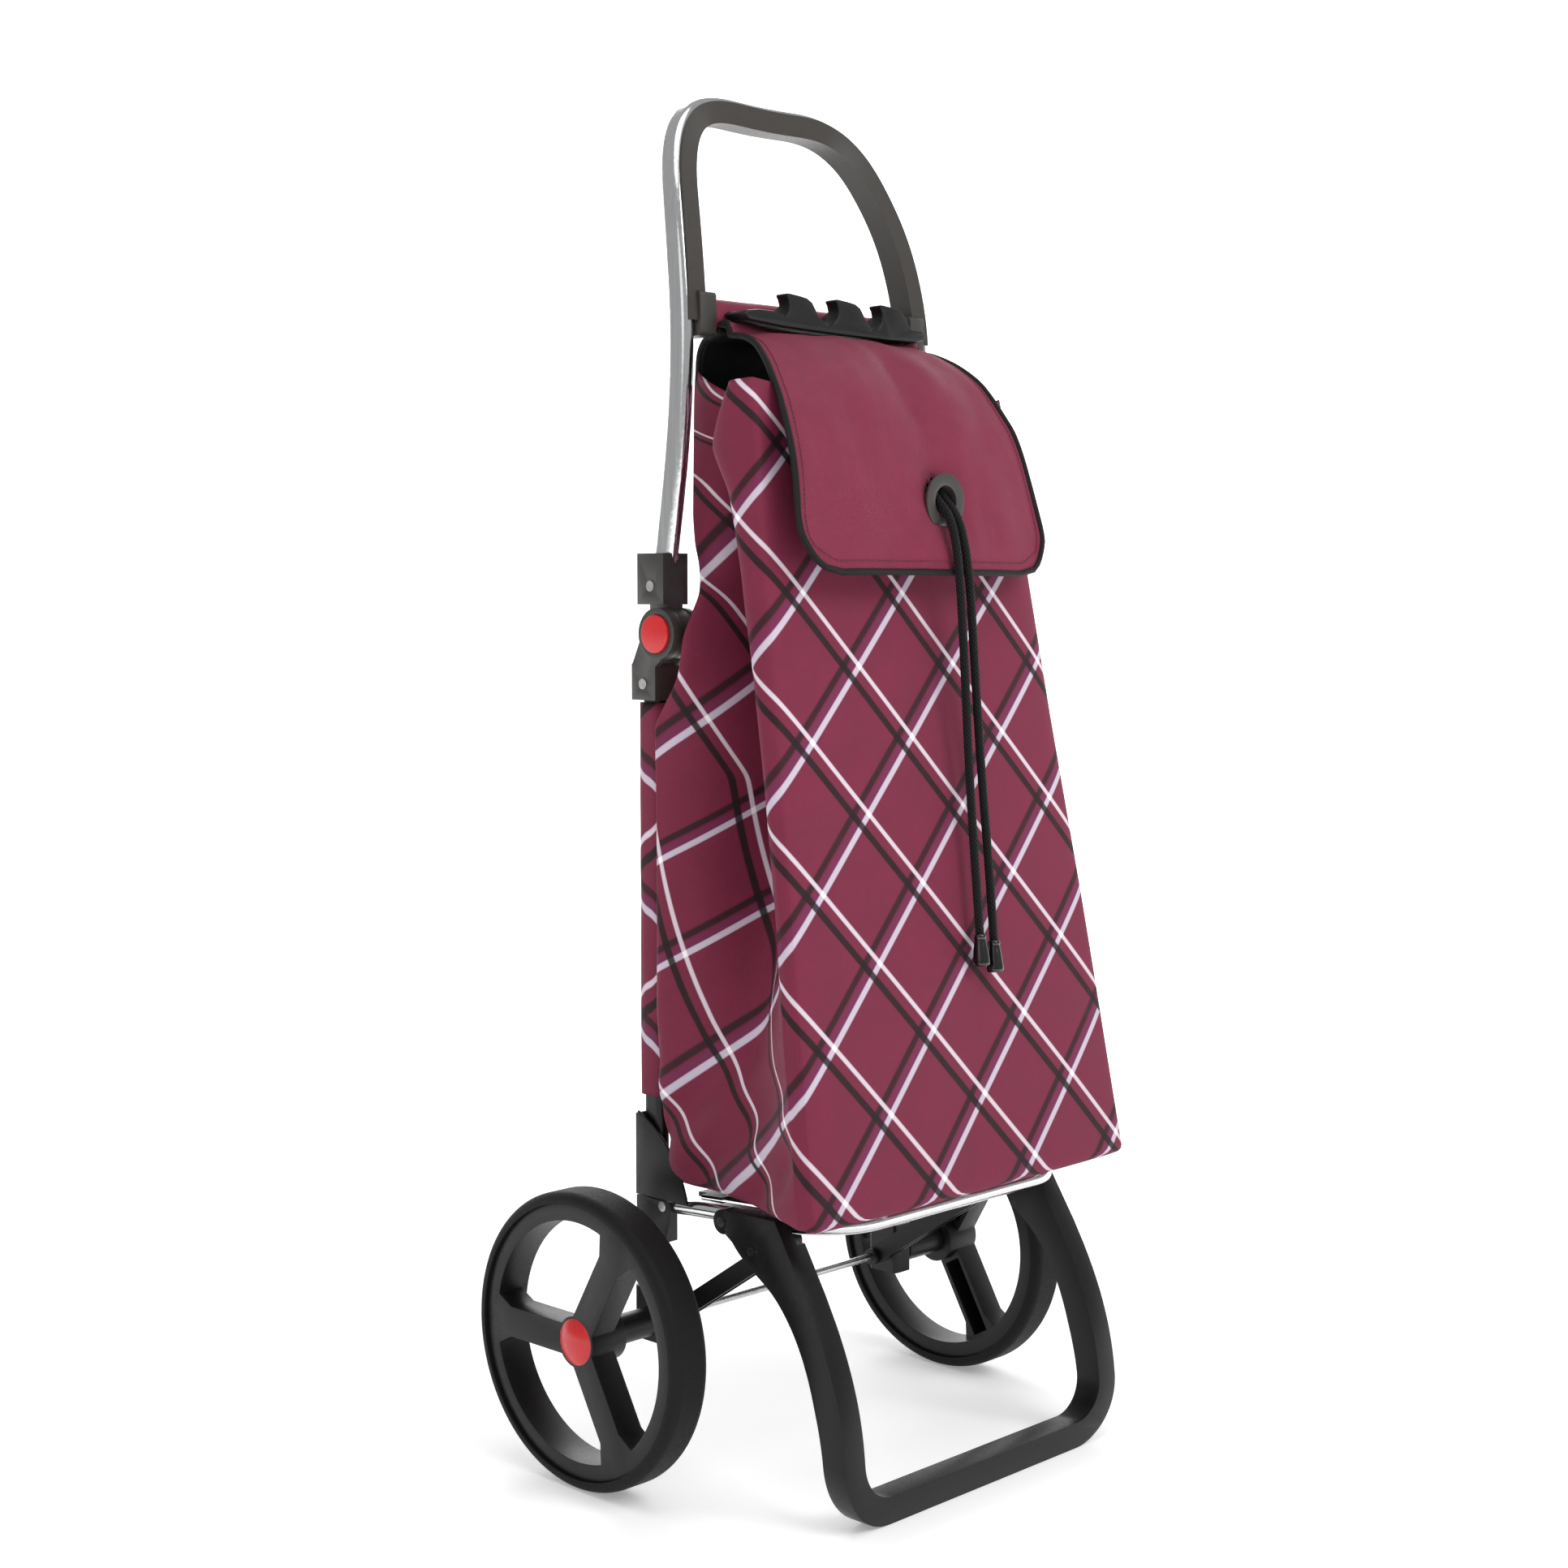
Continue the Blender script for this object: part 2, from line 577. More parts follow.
# ---- camera and cords ---------------------------------------------------------------------------
class TROLLEY_OT_camera(bpy.types.Operator):
    """Place the camera in front of the trolley and to its side"""
    bl_idname = "trolley.camera"
    bl_label = "Camera"

    def execute(self, context):
        data = bpy.data.cameras.new("camera")
        data.sensor_width = 36.0
        data.sensor_fit = "HORIZONTAL"
        data.lens = context.scene.trolley_sizes.lens
        data.clip_start, data.clip_end = 0.05, 60.0
        camera = bpy.data.objects.new("camera", data)
        context.scene.collection.objects.link(camera)
        azimuth, elevation = math.radians(-45.845), math.radians(4.422)
        back = Vector((math.sin(azimuth) * math.cos(elevation), -math.cos(azimuth) * math.cos(elevation),
                       math.sin(elevation)))
        camera.location = (-1.3554, -1.2666, 0.6526)
        camera.rotation_mode = "QUATERNION"
        camera.rotation_quaternion = (-back).to_track_quat("-Z", "Y")
        context.scene.camera = camera
        return {"FINISHED"}


CORD_ROUTES = {
    "left": [(24, -118, 768), (24.4, -126, 746), (24.4, -142, 725), (26, -157, 710), (30, -163, 672),
             (34.5, -165, 600), (37, -170, 520), (36, -180, 440), (32, -187, 397)],
    "right": [(16, -118, 768), (15.6, -126, 746), (15.6, -142, 725), (17, -157, 710), (19, -163, 672),
              (23, -165, 600), (23, -170, 520), (20, -179, 450), (17, -186, 403)],
}


class TROLLEY_OT_cords(bpy.types.Operator):
    """Hang the two draw cords out of the eyelet, with their moulded tips"""
    bl_idname = "trolley.cords"
    bl_label = "Draw cords"

    def execute(self, context):
        diameter = context.scene.trolley_sizes.cord_diameter
        for side, route in CORD_ROUTES.items():
            points = line_points([at(*p) for p in route], resolution=10)
            cord = finish_piece(f"draw_cord_{side}", tube_mesh(points, diameter / 2, 20), finish("cord"),
                                "frame")
            end, aim = points[-1], (points[-1] - points[-2]).normalized()
            tip = finish_piece(f"draw_cord_end_{side}", moulded_tip(end, aim), finish("cord_tip"), "frame")
            add_modifier(tip, "SUBSURF", "round", levels=1, render_levels=1)
            apply_modifiers(tip)
            length = sum((b - a).length for a, b in zip(points, points[1:]))
            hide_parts(f"cord_{side}")
            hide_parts(f"cord_tip_{side}")
            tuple(points[0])
            for piece in (cord, tip):
                fold_with_bag(piece)
        return {"FINISHED"}


def moulded_tip(end, aim):
    """A bell-shaped tip spun round the cord's end: a collar, a flaring skirt and a rounded foot."""
    bm = bmesh.new()
    profile = [(3.3, -2.0), (4.6, -1.4), (5.0, 0.0), (4.9, 1.2), (4.4, 2.2), (4.9, 5.0), (5.6, 10.0),
               (6.2, 15.0), (6.5, 19.0), (6.4, 21.0), (5.4, 22.0), (2.5, 22.0), (0.0, 22.0)]
    previous = None
    for radius, along in profile:
        v = bm.verts.new((radius / 1000.0, 0.0, along / 1000.0))
        if previous:
            bm.edges.new((previous, v))
        previous = v
    bmesh.ops.spin(bm, geom=bm.verts[:] + bm.edges[:], axis=(0, 0, 1), cent=(0, 0, 0), steps=24,
                   angle=2 * math.pi, use_merge=True)
    bmesh.ops.remove_doubles(bm, verts=bm.verts, dist=1e-6)
    turn = aim.to_track_quat("Z", "Y").to_matrix().to_4x4()
    bmesh.ops.transform(bm, matrix=Matrix.Translation(end) @ turn, verts=bm.verts)
    return bm


def fold_with_bag(piece):
    """Soft pieces that hang on the frame flatten towards the bag's floor as the handle folds."""
    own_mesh(piece)


# ---- bag ----------------------------------------------------------------------------------------
BAG_FLOOR = 222.0       # height of the front panel's lower edge
BAG_LEVELS = (216.0, 800.0)
BASE_SHARE = 0.06       # share of the cloth grid's rows that closes the base
CORNER_PART = 5 / 13    # share of the half outline's spans before the side begins


def bag_front(z):
    """How far forward the sloping front panel is at a height."""
    return -203.0 + (z - BAG_FLOOR) * 0.164


def bag_half_outline(z):
    """Half of the bag's outline at a height, from the middle of the front to the middle of the back."""
    half = 178.5 - (z - BAG_FLOOR) * 0.0626
    front = bag_front(z)
    roll = between([(216, 4.0), (400, 4.0), (600, 6.0), (668, 9.0), (725, 14.0), (757, 28.0), (780, 18.0),
                    (800, 6.0)], z)
    tuck = between([(216, 2.0), (345, 4.0), (430, 12.0), (520, 22.0), (740, 26.0), (800, 12.0)], z)
    fold = between([(216, (153, -116)), (260, (141, -102)), (345, (118, -88)), (414, (90, -84)),
                    (520, (46, -80)), (650, (36, -74)), (740, (50, -66)), (800, (108, -52))], z)
    swell = between([(216, (140, -66)), (260, (138, -56)), (345, (139, -46)), (520, (124, -44)),
                     (613, (122, -54)), (661, (100, -50)), (740, (96, -36)), (800, (106, -28))], z)
    outer = between([(216, (138, -30)), (260, (143, -17)), (345, (146, -13)), (560, (147, -13)),
                     (595, (147, -37)), (625, (143, -39)), (655, (124, -38)), (680, (110, -24)),
                     (709, (107, -14)), (781, (103, -10)), (800, (100, -9))], z)
    rear = between([(216, (122, -13)), (560, (122, -11)), (590, (108, -30)), (655, (105, -30)),
                    (690, (100, -12)), (800, (94, -8))], z)
    bend = between([(216, 8.0), (420, 9.0), (560, 12.0), (800, 14.0)], z)
    return [(0, front - 1.0), (half * 0.4, front - 1.0), (half * 0.75, front - 0.5),
            (half - bend, front + bend * 0.12), (half - bend * 0.2, front + bend * 0.5), (half, front + bend + roll),
            (half - tuck * 0.5, front + bend + roll + 8),
            ((half + fold[0]) / 2 - tuck * 0.3, (front + roll + fold[1]) / 2 + 4), fold, swell, outer, rear,
            (rear[0] * 0.5, -9.0), (0, -9.0)]


def bag_place(around, up):
    """A point of the bag, with around from 0 to 1 from the back, past the front, to the back again.

    Its place along the half outline and its side, -1 or 1, come with it.
    """
    side = -1.0 if around < 0.5 else 1.0
    part = abs(around - 0.5) * 2.0
    first_ring = BAG_LEVELS[0] + 5.0
    if up < BASE_SHARE:
        share = up / BASE_SHARE
        z, shrink = first_ring, math.sin(share * math.pi / 2) ** 0.6
        sink = -4.5 * (1 - share ** 6)
    else:
        z = first_ring + (up - BASE_SHARE) / (1 - BASE_SHARE) * (BAG_LEVELS[1] - first_ring)
        shrink, sink = 1.0, 0.0
    outline = bag_half_outline(z)
    x, y = through(outline, part)
    rim = smooth_step(730, BAG_LEVELS[1], z) * between([(0, -4.0), (0.28, 6.0), (0.40, 4.0), (0.62, -2.0), (0.78, 22.0),
                                              (1.0, 24.0)], part)
    middle = -95.0
    x, y = x * shrink, middle + (y - middle) * shrink
    return Vector((side * x, y, z + sink + rim)), part, side


def crease(point, side, sizes):
    """Soft creases: shallow and broad over the panels, deeper and slanting low down at the sides."""
    p = point / 1000.0
    broad = noise.noise(Vector((p.x * 9.0, p.y * 9.0, p.z * 5.0)))
    fine = noise.noise(Vector((p.x * 26.0 + 3.0, p.y * 30.0, p.z * 14.0 + 1.7)))
    low = 1 - smooth_step(230, 380, point.z)
    slant = math.sin((point.y * 1.1 + point.z * 1.4) / 13.0 + 2.0 * broad) * (0.6 + 0.6 * fine)
    return sizes.wrinkle * 1000.0 * (0.5 * broad + side * (1.0 * broad + 0.9 * fine) + side * low * 3.0 * slant)


class TROLLEY_OT_bag(bpy.types.Operator):
    """Sew the plaid bag: a tapered front, sides that fold inwards, a back and a base"""
    bl_idname = "trolley.bag"
    bl_label = "Bag"

    def execute(self, context):
        sizes = context.scene.trolley_sizes
        lengths = {}
        steps = 200

        def run_round(part, z):
            """Length of cloth from the middle of the front to a place on the outline."""
            key = round(z, 2)       # of one ring, whose points differ only by rounding
            if key not in lengths:
                outline, runs, here = bag_half_outline(z), [0.0], None
                for i in range(steps + 1):
                    spot = Vector(through(outline, i / steps))
                    if here is not None:
                        runs.append(runs[-1] + (spot - here).length)
                    here = spot
                lengths[key] = runs
            runs = lengths[key]
            place = part * steps
            i = min(int(place), steps - 1)
            return runs[i] + (runs[i + 1] - runs[i]) * (place - i)

        def cloth(u, v):
            """Where the cloth's print lies; beyond the corner the side panel is cut on a slant."""
            point, part, side = bag_place(u, v)
            z = min(max(point.z, BAG_LEVELS[0] + 5.0), BAG_LEVELS[1])
            run = run_round(part, z)
            beyond = max(0.0, run - run_round(CORNER_PART, z))
            up = point.z if v >= BASE_SHARE else BAG_FLOOR + (v - BASE_SHARE) * 1500.0
            return (side * run / 1000.0, (up + 0.30 * beyond * side) / 1000.0)

        bm = cloth_grid(168, sizes.bag_rings, lambda u, v: bag_place(u, v)[0], cloth)
        bmesh.ops.remove_doubles(bm, verts=bm.verts, dist=0.01)
        bmesh.ops.recalc_face_normals(bm, faces=bm.faces)
        bm.normal_update()
        moves = {}
        for v in bm.verts:
            on_side = abs(v.co.x) > 60 and v.co.y < -14
            side = smooth_step(10, 40, v.co.y - bag_front(v.co.z)) if on_side else 0.0
            moves[v] = v.normal * crease(v.co, side, sizes)
        for v, move in moves.items():
            v.co = at(*(v.co + move * smooth_step(BAG_LEVELS[0], 232, v.co.z)))
        bag = finish_piece("bag_cloth", bm, finish("plaid"), "frame",
                           away_from=(0, -0.05, 0.5))
        add_modifier(bag, "SUBSURF", "round", levels=1, render_levels=1)
        thicken(bag, sizes.cloth_thickness, rim_lined=False)
        for polygon in bag.data.polygons:
            polygon.use_smooth = True
        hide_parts("bag_shell", "bag_collar")
        fold_with_bag(bag)
        return {"FINISHED"}


# ---- flap ---------------------------------------------------------------------------------------
FLAP_LINE = [(-37, 845.5), (-50, 846.2), (-64, 844.0), (-80, 837.5), (-93, 828.5), (-104, 818), (-114, 804),
             (-122, 790), (-128.5, 776), (-136, 754), (-143, 730), (-148.5, 708), (-153, 690), (-157.5, 670)]
HOOD_LINE = [(-9.5, 800), (-10, 816), (-12, 830), (-18, 839.5), (-27, 842.5), (-37, 845.5)]
FLAP_HALF = [(0.0, 102.0), (0.14, 104.5), (0.30, 113.0), (0.45, 121.0), (0.58, 126.0), (0.72, 130.5),
             (0.82, 135.0), (0.90, 138.5), (1.0, 139.0)]
FLAP_LONG = 232.0
FLAP_CORNER = 40.0


def flap_half(along):
    """Half the flap's width at a share of its length, with its lower corners rounded."""
    half = between(FLAP_HALF, along)
    left = (1.0 - along) * FLAP_LONG
    if left < FLAP_CORNER:
        rise = FLAP_CORNER - left
        half -= FLAP_CORNER - math.sqrt(max(FLAP_CORNER ** 2 - rise ** 2, 0.0))
    return half


def flap_place(across, along):
    """A point of the flap in millimetres, with across from -1 to 1 and along from its hinge to its hem."""
    y, z = through(FLAP_LINE, along)
    after, before = through(FLAP_LINE, min(along + 0.01, 1.0)), through(FLAP_LINE, max(along - 0.01, 0.0))
    slope = Vector((0, after[0] - before[0], after[1] - before[1])).normalized()
    out = Vector((0, slope.z, -slope.y))
    if out.y > 0:
        out = -out
    x = across * flap_half(along)
    hang = smooth_step(0.25, 0.8, along)
    droop = -5.0 * abs(across) ** 3.0 * (1 - 0.6 * hang)
    belly = 4.0 * (1 - across * across) * math.sin(math.pi * along)
    dimple = -10.0 * math.exp(-((x - 16.0 - 6 * along) / 19.0) ** 2) * smooth_step(0.12, 0.40, along) * (
        1 - smooth_step(0.52, 0.72, along))
    pull = -5.0 * math.exp(-((x - eyelet_side(along)) / 20.0) ** 2) * smooth_step(0.5, 0.75, along) * (
        1 - smooth_step(0.8, 0.97, along))
    ripple = 3.4 * noise.noise(Vector((x / 55.0, along * 2.4, 4.0))) + 1.3 * noise.noise(
        Vector((x / 24.0, along * 5.0, 9.0)))
    hem = 1.2 * math.sin(x / 9.0) * smooth_step(0.86, 1.0, along) * noise.noise(Vector((x / 30.0, 2.0, 1.0)))
    lift = ripple * smooth_step(0.0, 0.2, along) * (1 - 0.6 * smooth_step(0.85, 1.0, along))
    return Vector((x, y, z)) + out * (droop + belly + dimple + pull + lift + hem)


def eyelet_side(along):
    """Where across the flap the cloth is drawn in, towards the eyelet."""
    return 20.0 + 18.0 * (0.72 - along)


def hood_place(across, along):
    """The short piece that joins the bag's back to the flap under the crossbar, curling in at its ends."""
    y, z = through(HOOD_LINE, along)
    return Vector((across * between([(0, 99.0), (1, 102.0)], along), y, z))


def bound_edge(name, points, body, radius):
    """Piping: a folded tape stitched round an edge, as a tube along it."""
    return finish_piece(name, tube_mesh(points, radius, 10), finish("piping"), body)


class TROLLEY_OT_flap(bpy.types.Operator):
    """Cut the twill flap with its piped edge, its line of stitches and the hood behind it"""
    bl_idname = "trolley.flap"
    bl_label = "Flap"

    def execute(self, context):
        sizes = context.scene.trolley_sizes
        flap = finish_piece("flap_cloth", cloth_grid(72, 64, lambda u, v: at(*flap_place(2 * u - 1, v)),
                                                     lambda u, v: ((u - 0.5) * 2 * flap_half(v) / 1000,
                                                                   (1 - v) * FLAP_LONG / 1000)),
                            finish("twill"), "flap", away_from=(0, 0.05, 0.65))
        cut_eyelet_hole(flap)
        thicken(flap, 0.0022)
        edge = [flap_place(-1, i / 60) for i in range(61)]
        edge += [flap_place(-1 + i / 20, 1.0) for i in range(1, 40)]
        edge += [flap_place(1, 1 - i / 60) for i in range(61)]
        piping = bound_edge("flap_piping", [at(*p) for p in edge], "flap", sizes.piping_diameter / 2)
        inset = []
        hem = 0.966     # the lower line of stitches, as a share of the flap's length
        for across, along in [(-1, i / 60) for i in range(3, 57)] + [(-1 + i / 30, hem) for i in range(3, 58)] + [
                (1, 1 - i / 60) for i in range(4, 58)]:
            share = 1 - 7.0 / flap_half(min(along, hem))
            inset.append(flap_place(across * share, min(along, hem)) + Vector((0, -0.5, 0.3)))
        seam = finish_piece("flap_stitches", stitches([at(*p) for p in inset], 0.0032, 0.00032), finish("thread"),
                            "flap")
        hood = finish_piece("flap_hood", cloth_grid(40, 24, lambda u, v: at(*hood_place(2 * u - 1, v)),
                                                    lambda u, v: ((u - 0.5) * 0.2, v * 0.06)),
                            finish("twill"), "frame", away_from=(0, -0.05, 0.75))
        thicken(hood, 0.0016)
        rims = []
        for side in (-1, 1):
            rims.append(bound_edge(f"hood_piping_{'left' if side > 0 else 'right'}",
                                   [at(*hood_place(side, i / 24)) for i in range(25)], "frame",
                                   sizes.piping_diameter / 2 * 0.9))
        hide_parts("flap")
        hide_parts("bag_back_panel")
        for piece in (flap, piping, seam, hood, *rims):
            fold_with_bag(piece)
        return {"FINISHED"}


def cut_eyelet_hole(piece):
    """Takes away the cloth inside the eyelet's ring."""
    bm = bmesh.new()
    bm.from_mesh(piece.data)
    low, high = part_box("eyelet")
    centre, reach = (low + high) / 2, (high.x - low.x) / 2 * 0.80
    inside = [f for f in bm.faces if math.hypot(f.calc_center_median().x - centre.x,
                                                f.calc_center_median().z - centre.z) < reach
              and f.calc_center_median().y < centre.y + 0.03]
    bmesh.ops.delete(bm, geom=inside, context="FACES")
    bm.to_mesh(piece.data)
    bm.free()


def stitches(points, pitch, radius):
    """A run of sewn stitches: short raised lengths of thread with small gaps."""
    bm = bmesh.new()
    layer = bm.loops.layers.uv.new("cloth")
    runs = [0.0]
    for a, b in zip(points, points[1:]):
        runs.append(runs[-1] + (b - a).length)
    place, i = 0.0, 0
    while place + pitch < runs[-1]:
        ends = []
        for run in (place, place + pitch * 0.72):
            while i < len(runs) - 2 and runs[i + 1] < run:
                i += 1
            span = max(runs[i + 1] - runs[i], 1e-9)
            ends.append(points[i].lerp(points[i + 1], (run - runs[i]) / span))
        turn = (ends[1] - ends[0]).to_track_quat("Z", "Y").to_matrix().to_4x4()
        bmesh.ops.create_cone(bm, cap_ends=True, segments=5, radius1=radius, radius2=radius,
                              depth=(ends[1] - ends[0]).length,
                              matrix=Matrix.Translation((ends[0] + ends[1]) / 2) @ turn)
        place += pitch
    for face in bm.faces:
        for loop in face.loops:
            loop[layer].uv = (loop.vert.co.x, loop.vert.co.z)
    return bm


# ---- cloth on the tubes -------------------------------------------------------------------------
UPRIGHT_X, UPRIGHT_Y = 129.0, 6.0           # centre line of each upright, in millimetres
SLEEVE_LOW, SLEEVE_LONG = 280.0, 294.0
SLEEVE_GIRTH = 0.066
OVAL_POWER = 0.72                           # makes a circle into the flat-sided oval of the uprights


def wrapped(columns, rows, place, cloth):
    """A cloth that closes on itself round a tube."""
    bm = cloth_grid(columns, rows, place, cloth)
    bmesh.ops.remove_doubles(bm, verts=bm.verts, dist=1e-5)
    return bm


def oval(reach, part):
    """One coordinate of a flat-sided oval, from a cosine or a sine."""
    return reach * math.copysign(abs(part) ** OVAL_POWER, part)


class TROLLEY_OT_tube_cloth(bpy.types.Operator):
    """Wrap the two uprights in plaid sleeves and the crossbar in plain cloth"""
    bl_idname = "trolley.tube_cloth"
    bl_label = "Sleeves and crossbar cover"

    def execute(self, context):
        for side, sign in (("left", 1), ("right", -1)):
            def place(u, v, sign=sign):
                z = SLEEVE_LOW + v * SLEEVE_LONG
                c, s = math.cos(u * 2 * math.pi), math.sin(u * 2 * math.pi)
                loose = 0.5 + 0.5 * noise.noise(Vector((c * 1.5, s * 1.5, z / 40.0)))
                return at(sign * UPRIGHT_X + oval(7.9 + 1.0 * loose, c), UPRIGHT_Y + oval(12.2 + 1.2 * loose, s), z)
            bm = wrapped(40, 48, place, lambda u, v, sign=sign: (sign * (0.23 + u * SLEEVE_GIRTH),
                                                                 (SLEEVE_LOW + v * SLEEVE_LONG) / 1000))
            sleeve = finish_piece(f"sleeve_cloth_{side}", bm, finish("plaid"), "frame")
            thicken(sleeve, 0.0011, lined=False)
            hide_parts(f"bag_sleeve_{side}")

        low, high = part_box("crossbar_cover")
        centre, radius, half = (low + high) / 2, (high.z - low.z) / 2, (high.x - low.x) / 2

        def wrap(u, v):
            x = (v - 0.5) * 2 * half
            angle = u * 2 * math.pi
            swell = 1 + 0.035 * noise.noise(Vector((x * 30.0, math.cos(angle), math.sin(angle)))) - 0.04 * (
                abs(v - 0.5) * 2) ** 6
            r = radius * swell
            return Vector((x, centre.y + r * math.cos(angle), centre.z + r * math.sin(angle)))
        cover = finish_piece("crossbar_cover_cloth", wrapped(36, 60, wrap, lambda u, v: (v * 0.23, u * 0.082)),
                             finish("twill"), "handle")
        thicken(cover, 0.0015, lined=False)
        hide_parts("crossbar_cover")
        return {"FINISHED"}


# ---- hook bar -----------------------------------------------------------------------------------
TOOTH_TIPS = (47.5, -1.8, -55.0)    # across the bar, in millimetres
BAR_TOP = 0.8595                    # above this height in metres there are only teeth
TOOTH_THICK = 0.012


class TROLLEY_OT_hook_bar(bpy.types.Operator):
    """Mould the hook bar: a tapered bar with three broad teeth and round scallops between them"""
    bl_idname = "trolley.hook_bar"
    bl_label = "Hook bar"

    def execute(self, context):
        low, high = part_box("hook_bar")
        bm = bmesh.new()
        outline = [(-100, 857.0), (-95, 853.2), (-60, 850.6), (-20, 849.6), (20, 849.2), (60, 849.2), (90, 850),
                   (97, 851.5), (100, 854), (99, 857.5), (94, 859), (88, 859)]
        for tip in TOOTH_TIPS:
            outline += [(tip + 37, 859), (tip + 33, 861.5), (tip + 30, 866), (tip + 26.5, 870.5),
                        (tip + 21, 873.2), (tip + 13, 874.3), (tip + 4, 875), (tip, 875.2), (tip - 1.2, 873.6),
                        (tip + 1.0, 871), (tip + 2.2, 867), (tip + 1.6, 862), (tip - 1.5, 857.5),
                        (tip - 6, 855.2), (tip - 11, 855.2)]
        outline = outline[:-2] + [(-60, 859.5), (-70, 861), (-85, 861), (-97, 859.5)]
        front, rear = low.y, high.y
        ring = [bm.verts.new((x / 1000.0, front, z / 1000.0)) for x, z in outline]
        face = bm.faces.new(ring)
        made = bmesh.ops.extrude_face_region(bm, geom=[face])["geom"]
        for v in made:
            if isinstance(v, bmesh.types.BMVert):
                v.co.y = rear if v.co.z < BAR_TOP else front + TOOTH_THICK
        bmesh.ops.recalc_face_normals(bm, faces=bm.faces)
        sharp = [e for e in bm.edges if len(e.link_faces) == 2 and e.calc_face_angle(0.0) > 0.9]
        bmesh.ops.bevel(bm, geom=sharp, offset=0.0011, offset_type="OFFSET", segments=2, profile=0.5,
                        affect="EDGES", material=-1)
        bar = finish_piece("hook_bar_moulding", bm, finish("black_plastic"), "handle",
                           smooth=True)
        bar.data.set_sharp_from_angle(angle=math.radians(30))
        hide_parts("hook_bar")
        return {"FINISHED"}


# ---- finishes on the frame ----------------------------------------------------------------------
class TROLLEY_OT_frame_finishes(bpy.types.Operator):
    """Give every carried-over part of the frame the finish of the real one"""
    bl_idname = "trolley.frame_finishes"
    bl_label = "Frame finishes"

    def execute(self, context):
        shown = {node for node, piece in frame["nodes"].items() if not piece.hide_render}
        for name, nodes in CAD_FINISHES.items():
            for node in nodes:
                piece = frame["nodes"][node]
                piece.data.materials.clear()
                piece.data.materials.append(finish(name))
                shown.discard(node)
        if shown:
            raise RuntimeError(f"no finish is set for {sorted(shown)}")
        return {"FINISHED"}


EASED = {
    "leg_loop": ("black_paint", 2.6, 3), "rim_left": ("rim", 1.0, 2), "rim_right": ("rim", 1.0, 2),
    "hinge_lower_left": ("hinge_grey", 1.1, 2), "hinge_lower_right": ("hinge_grey", 1.1, 2),
    "hinge_upper_left": ("hinge_grey", 1.6, 2), "hinge_upper_right": ("hinge_grey", 1.6, 2),
    "crossbar_bracket_left": ("hinge_grey", 1.2, 2), "crossbar_bracket_right": ("hinge_grey", 1.2, 2),
    "corner_pocket_left": ("black_plastic", 0.7, 2), "corner_pocket_right": ("black_plastic", 0.7, 2),
    "carrier_bracket_left": ("black_plastic", 0.7, 2), "carrier_bracket_right": ("black_plastic", 0.7, 2),
    "button_left": ("red_button", 1.0, 3), "button_right": ("red_button", 1.0, 3),
    "eyelet": ("hinge_grey", 0.7, 2),
}


class TROLLEY_OT_moulded_edges(bpy.types.Operator):
    """Ease the edges of the moulded parts, so that they catch the light as the real ones do"""
    bl_idname = "trolley.moulded_edges"
    bl_label = "Moulded edges"

    def execute(self, context):
        for node, (name, width, segments) in EASED.items():
            source = frame["nodes"][node]
            bm = bmesh.new()
            bm.from_mesh(source.data)
            bmesh.ops.remove_doubles(bm, verts=bm.verts, dist=2e-5)
            bmesh.ops.dissolve_limit(bm, angle_limit=math.radians(1.5), verts=bm.verts, edges=bm.edges)
            crisp = [e for e in bm.edges if len(e.link_faces) == 2 and e.calc_face_angle(0.0) > math.radians(38)]
            bmesh.ops.bevel(bm, geom=crisp, offset=width / 1000.0, offset_type="OFFSET", segments=segments,
                            profile=0.5, affect="EDGES", clamp_overlap=True, loop_slide=True, material=-1)
            bmesh.ops.triangulate(bm, faces=[f for f in bm.faces if len(f.verts) > 4])
            piece = finish_piece(f"{node}_moulding", bm, finish(name), source["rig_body"])
            piece.data.set_sharp_from_angle(angle=math.radians(32))
            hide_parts(node)
            if node == "eyelet":
                fold_with_bag(piece)
        return {"FINISHED"}


# ---- stage --------------------------------------------------------------------------------------
def area_light(name, place, target, size, power):
    """A round soft light, aimed at a point."""
    data = bpy.data.lights.new(name, "AREA")
    data.shape, data.size, data.energy = "DISK", size, power
    lamp = bpy.data.objects.new(name, data)
    bpy.context.scene.collection.objects.link(lamp)
    lamp.location = place
    lamp.rotation_mode = "QUATERNION"
    lamp.rotation_quaternion = (Vector(target) - Vector(place)).to_track_quat("-Z", "Y")


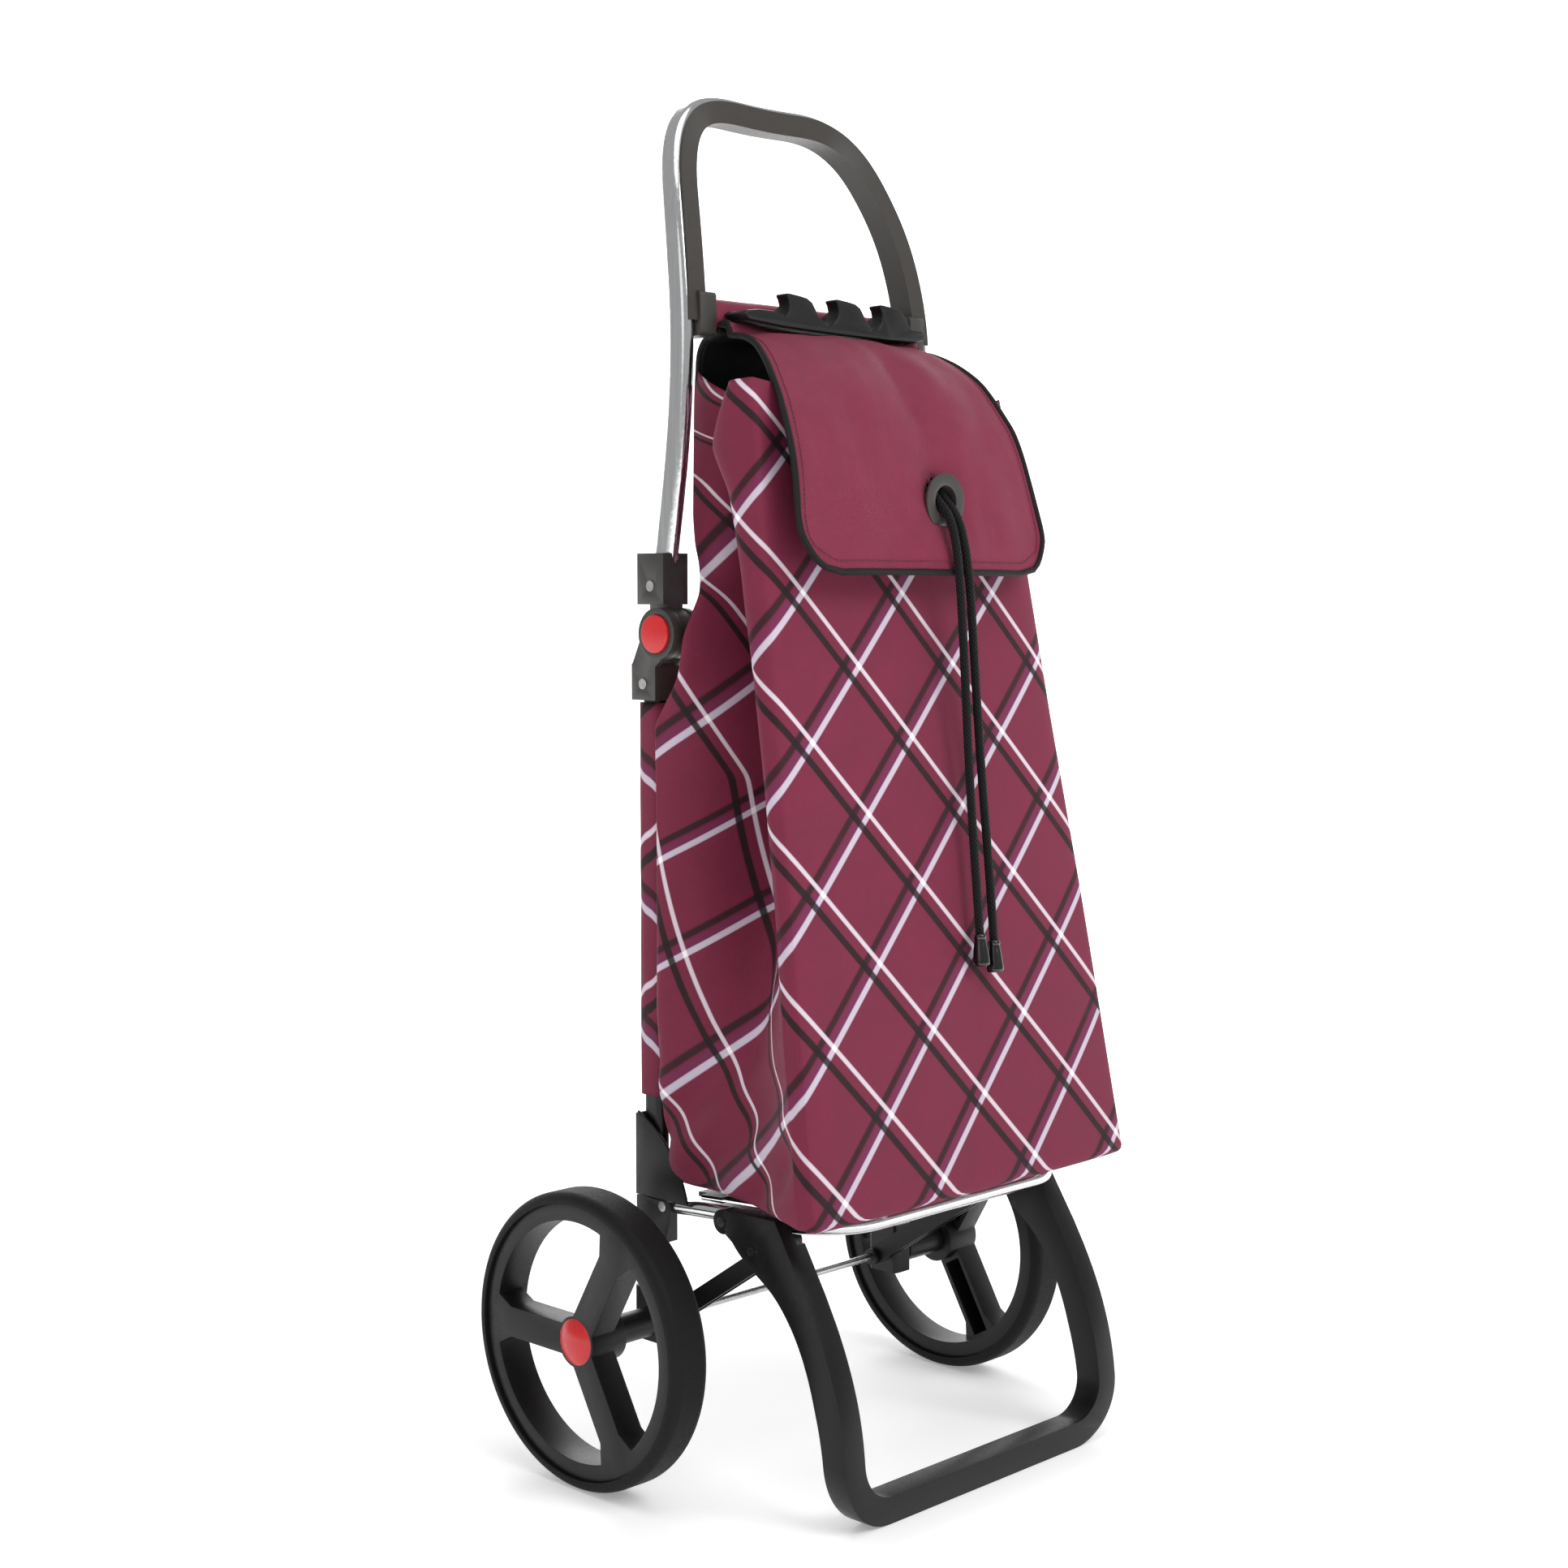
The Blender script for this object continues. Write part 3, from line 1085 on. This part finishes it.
class TROLLEY_OT_stage(bpy.types.Operator):
    """Lay a plain pale floor that sweeps up behind, under soft studio light"""
    bl_idname = "trolley.stage"
    bl_label = "Stage"

    def execute(self, context):
        bm = bmesh.new()
        bmesh.ops.create_grid(bm, x_segments=2, y_segments=60, size=0.5)
        away = Vector((0.7153, 0.6946, 0.0)).normalized()
        across = Vector((away.y, -away.x, 0.0))
        for v in bm.verts:
            run = (v.co.y + 0.5) * 14.0 - 5.0
            bend, turn = 3.2, 2.0
            if run < bend:
                out, up = run, 0.0
            elif run < bend + turn * math.pi / 2:
                angle = (run - bend) / turn
                out, up = bend + turn * math.sin(angle), turn * (1 - math.cos(angle))
            else:
                out, up = bend + turn, turn + run - bend - turn * math.pi / 2
            v.co = away * out + across * (v.co.x * 16.0) + Vector((0, 0, up))
        floor = finish_piece("studio_floor", bm, finish("floor"), None)
        area_light("key", (0.3, -2.6, 2.6), (0, 0, 0.5), 1.8, 46)
        area_light("near_side", (-3.0, -0.6, 1.8), (0, 0, 0.5), 2.0, 7)
        area_light("rim", (1.6, 2.4, 2.2), (0, 0, 0.6), 1.6, 22)
        area_light("top", (-0.4, -0.3, 3.4), (0, 0, 0.2), 2.4, 24)
        world = bpy.data.worlds.new("studio")
        context.scene.world = world
        world.use_nodes = True
        background = world.node_tree.nodes["Background"]
        background.inputs["Color"].default_value = (1.0, 1.0, 1.0, 1.0)
        background.inputs["Strength"].default_value = 0.42
        context.scene.view_settings.view_transform = "Standard"
        return {"FINISHED"}


class TROLLEY_PT_parts(bpy.types.Panel):
    """Lists the trolley's pieces"""
    bl_idname = "TROLLEY_PT_parts"
    bl_label = "Trolley"
    bl_space_type = "VIEW_3D"
    bl_region_type = "UI"
    bl_category = "Trolley"

    def draw(self, context):
        for name in STEPS:
            self.layout.operator(f"trolley.{name}")
        for group in (context.scene.trolley_sizes, context.scene.trolley_colours):
            for key in group.__annotations__:
                self.layout.prop(group, key)


CLASSES = (TrolleyColours, TrolleySizes, TROLLEY_OT_camera, TROLLEY_OT_cords, TROLLEY_OT_bag, TROLLEY_OT_flap,
           TROLLEY_OT_tube_cloth, TROLLEY_OT_hook_bar, TROLLEY_OT_moulded_edges, TROLLEY_OT_frame_finishes,
           TROLLEY_OT_stage, TROLLEY_PT_parts)
STEPS = ("camera", "cords", "bag", "flap", "tube_cloth", "hook_bar", "moulded_edges", "frame_finishes", "stage")


def register():
    for cls in CLASSES:
        bpy.utils.register_class(cls)
    bpy.types.Scene.trolley_colours = PointerProperty(type=TrolleyColours)
    bpy.types.Scene.trolley_sizes = PointerProperty(type=TrolleySizes)


def unregister():
    del bpy.types.Scene.trolley_sizes
    del bpy.types.Scene.trolley_colours
    for cls in reversed(CLASSES):
        bpy.utils.unregister_class(cls)


def main():
    register()
    for name in STEPS:
        getattr(bpy.ops.trolley, name)()


if __name__ == "__main__":
    main()
